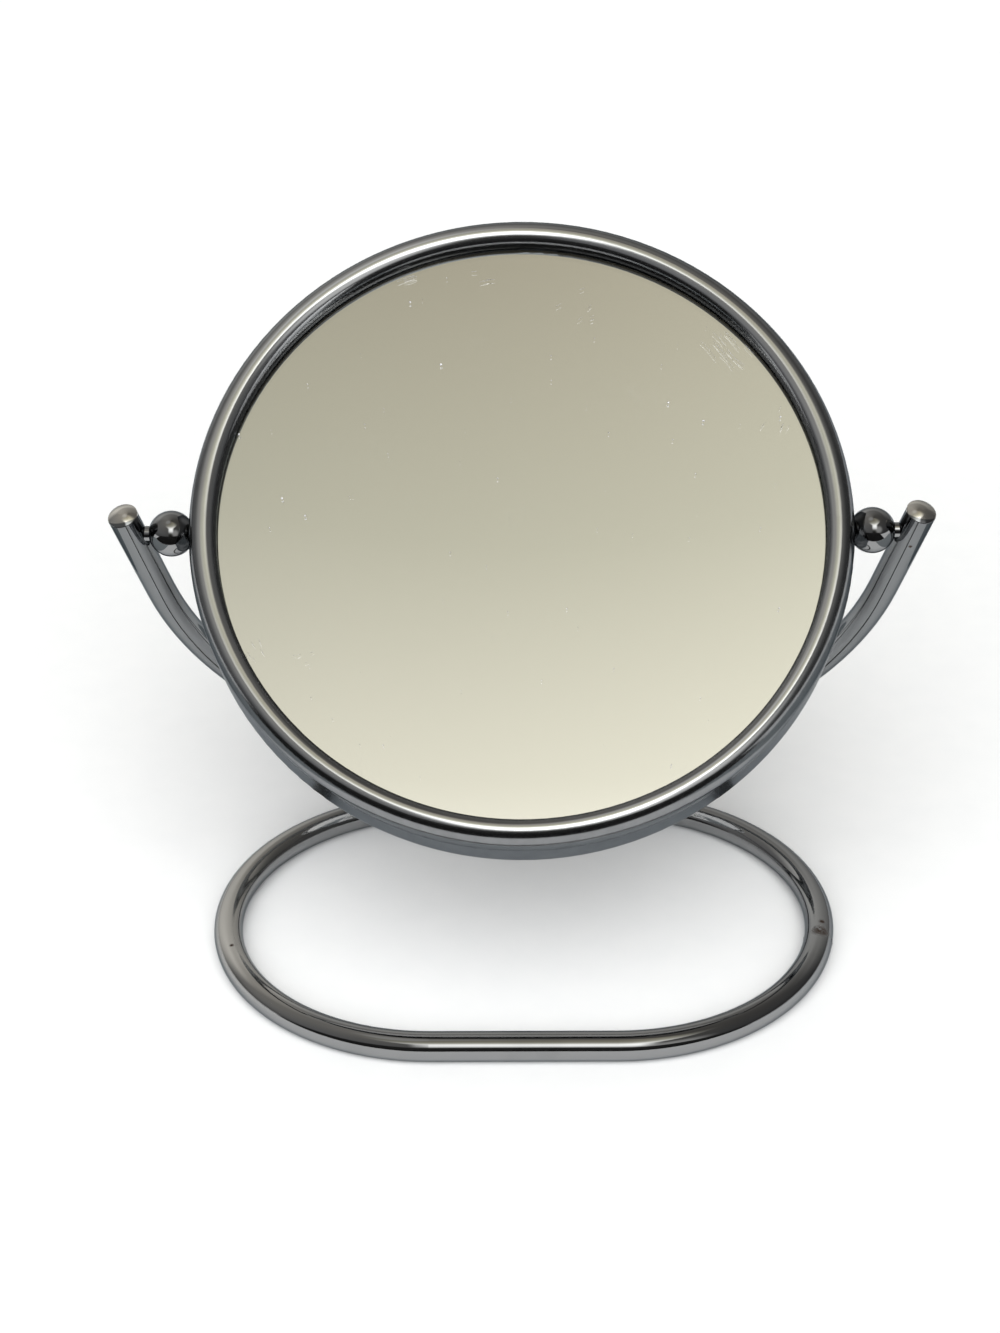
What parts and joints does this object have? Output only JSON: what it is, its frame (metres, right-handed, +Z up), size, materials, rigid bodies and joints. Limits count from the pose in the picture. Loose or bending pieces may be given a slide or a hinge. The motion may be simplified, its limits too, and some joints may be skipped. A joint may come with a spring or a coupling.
{
  "type": "two-sided tilting table mirror",
  "caption": "Round two-sided magnifying table mirror in rolled chrome rims, swinging on ball pivots in a bent-rod bow above a flat oval loop base.",
  "frame": {"origin": "on the table, under the centre of the base loop", "axes": "+X to the right along the pivot axis, +Y to the back, +Z up"},
  "size_m": [0.2218, 0.1487, 0.1878],
  "materials": {
    "rod_chrome": "bright plated rod, lightly worn",
    "ball_chrome": "bright plated ball",
    "rim_chrome": "bright plated rolled rim, lightly worn",
    "pin_steel": "turned and plated",
    "spring_steel": "spring temper",
    "strap_steel": "plain strip",
    "clear_glass": "clear float glass, polished",
    "silvering": "silvered back with paint over it",
    "card": "grey-brown board",
    "fibre": "pressed fibre"
  },
  "bodies": {
    "stand": {"base_loop": "rod_chrome", "bow": "rod_chrome", "foot_ball": "ball_chrome", "foot_stud": "pin_steel", "left_pivot_ball": "ball_chrome", "right_pivot_ball": "ball_chrome", "left_pivot_pin": "pin_steel", "right_pivot_pin": "pin_steel", "left_spring_washer": "spring_steel", "right_spring_washer": "spring_steel"},
    "mirror": {"front_rim": "rim_chrome", "rear_rim": "rim_chrome", "joining_hoop": "strap_steel", "front_glass": "clear_glass", "front_silver": "silvering", "backing_card": "card", "packing_ring": "card", "rear_silver": "silvering", "rear_glass": "clear_glass", "left_friction_washer": "fibre", "right_friction_washer": "fibre"}
  },
  "joints": [
    {"name": "mirror_tilt", "type": "hinge", "parent": "stand", "child": "mirror", "pos_m": [0, 0.0145, 0.12045], "axis": [1, 0, 0], "continuous": true}
  ]
}
